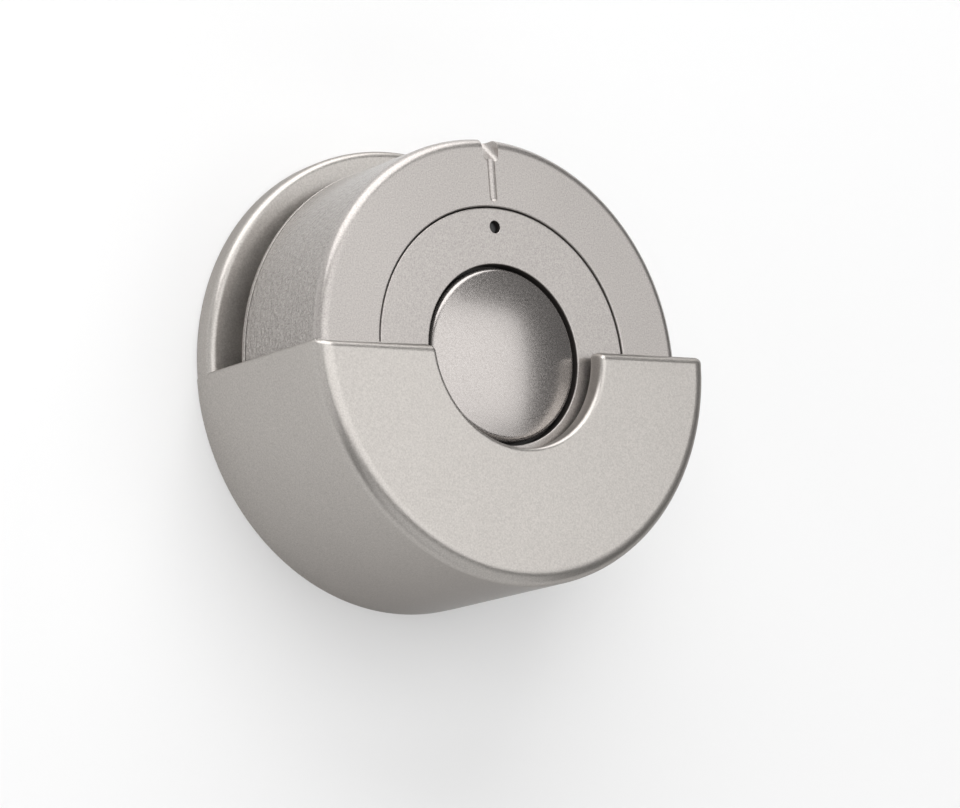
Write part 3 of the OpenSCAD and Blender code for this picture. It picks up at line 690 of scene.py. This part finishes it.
def make_light():
    world = bpy.data.worlds.new("studio")
    bpy.context.scene.world = world
    world.use_nodes = True
    tree = world.node_tree
    tree.nodes.clear()
    # Lighter behind the wall, where no front of the object looks
    way = add(tree, "ShaderNodeTexCoord").outputs["Generated"]
    parts = add(tree, "ShaderNodeSeparateXYZ", {"Vector": way})
    level = add(tree, "ShaderNodeMapRange", {"Value": parts.outputs["Y"], "From Min": 0.0, "From Max": 0.45,
                                             "To Min": 0.08, "To Max": 1.0}, interpolation_type="SMOOTHSTEP")
    sky = add(tree, "ShaderNodeBackground", {"Color": (1, 1, 1, 1), "Strength": level.outputs["Result"]})
    add(tree, "ShaderNodeOutputWorld", {"Surface": sky.outputs[0]})
    soft_box("overhead softbox", way=(-0.12, -0.25, 0.95), distance=0.8, width=1.15, height=1.1, level=3.1)
    soft_box("front softbox", way=(-0.05, -1.0, 0.08), distance=1.0, width=2.08, height=0.9, level=1.82)
    soft_box("left softbox", way=(-0.95, -0.32, 0.0), distance=0.9, width=0.45, height=0.9, level=1.0)
    soft_box("low fill", way=(0.05, -0.45, -0.88), distance=0.9, width=1.4, height=0.8, level=0.75)


def soft_box(name, way, distance, width, height, level):
    """A softbox in that direction from the object, in metres, as bright as level times a white wall."""
    light = bpy.data.lights.new(name, "AREA")
    light.shape = "RECTANGLE"
    light.size, light.size_y = width, height
    light.energy = level * math.pi * width * height
    lamp = bpy.data.objects.new(name, light)
    bpy.context.collection.objects.link(lamp)
    lamp.location = Vector(way).normalized() * distance
    lamp.rotation_euler = (-Vector(way)).to_track_quat("-Z", "Y").to_euler()


def place_piece(piece, body, node, material):
    dress(piece, material)
    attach(piece, body)
    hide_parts(node)


bpy.context.scene.view_settings.view_transform = "Standard"
aim_camera()

satin_coat = silver_lacquer("satin silver lacquer", "#BEBAB5", "#A6A19D", 0.3, 0.004, 0.36, slant="#8A8582")
ring_coat = silver_lacquer("satin silver lacquer on the ring", "#B9B4B0", "#96918E", 0.35, 0.008, 0.36)
# The real grain is probably finer and flatter; it is drawn coarse enough to show
eroded_coat = silver_lacquer("silver lacquer on spark-eroded grip", "#B9B4B0", "#827D79", 0.62, 0.4, 0.36)
bright_coat = silver_lacquer("polished silver lacquer", "#B1ACA9", "#989390", 0.3, 0.003, 0.26)
# Dark bare ABS for the deep gap round the button and the indicator hole: plastic left unsprayed, and also
# painted shade where little light gets in
bare_plastic_and_painted_shade = plain_finish("black ABS past the edge of the lacquer", "#332F2D", 0.55, grain=0.3)

place_piece(make_holder(), "holder", "wall_holder", satin_coat)

ring = make_ring()
place_piece(ring, "ring", "dimmer_ring", ring_coat)
dress_some(ring, eroded_coat, lambda r, h: r > GRIP_R and RING_BACK < h < GRIP_FRONT)

housing = make_housing()
place_piece(housing, "remote", "rear_housing", satin_coat)
dress_some(housing, eroded_coat, lambda r, h: r > GRIP_R and within(h, EDGE_GRIP))

disc = make_disc()
place_piece(disc, "remote", "front_disc", ring_coat)
# The disc's faces down in the gap round the button and in the indicator hole get the dark bare ABS, which is
# partly painted shade
dress_some(disc, bare_plastic_and_painted_shade, lambda r, h: (r < GAP_R and h < GAP_BARE_AND_SHADE_H
                                             or within(r, INDICATOR_ZONE) and within(h, INDICATOR_BARE_AND_SHADE_H)))

button = make_button()
place_piece(button, "button", "button_cap", bright_coat)
# The button's side below its rim and its flange get the dark bare ABS too, partly painted shade for the gap
dress_some(button, bare_plastic_and_painted_shade, lambda r, h: h < BUTTON_BARE_AND_SHADE_H)

for spot in frame["nodes"]["battery_cover"].material_slots:
    spot.material = satin_coat

# The coil is 7.2 mm high and the button travels 0.5 mm
spring = make_spring()
place_piece(spring, "remote", "button_spring",
            plain_finish("drawn spring wire", "#A9ABAD", 0.3, 1.0))
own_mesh(spring)

dress_inside()
make_wall()
make_light()
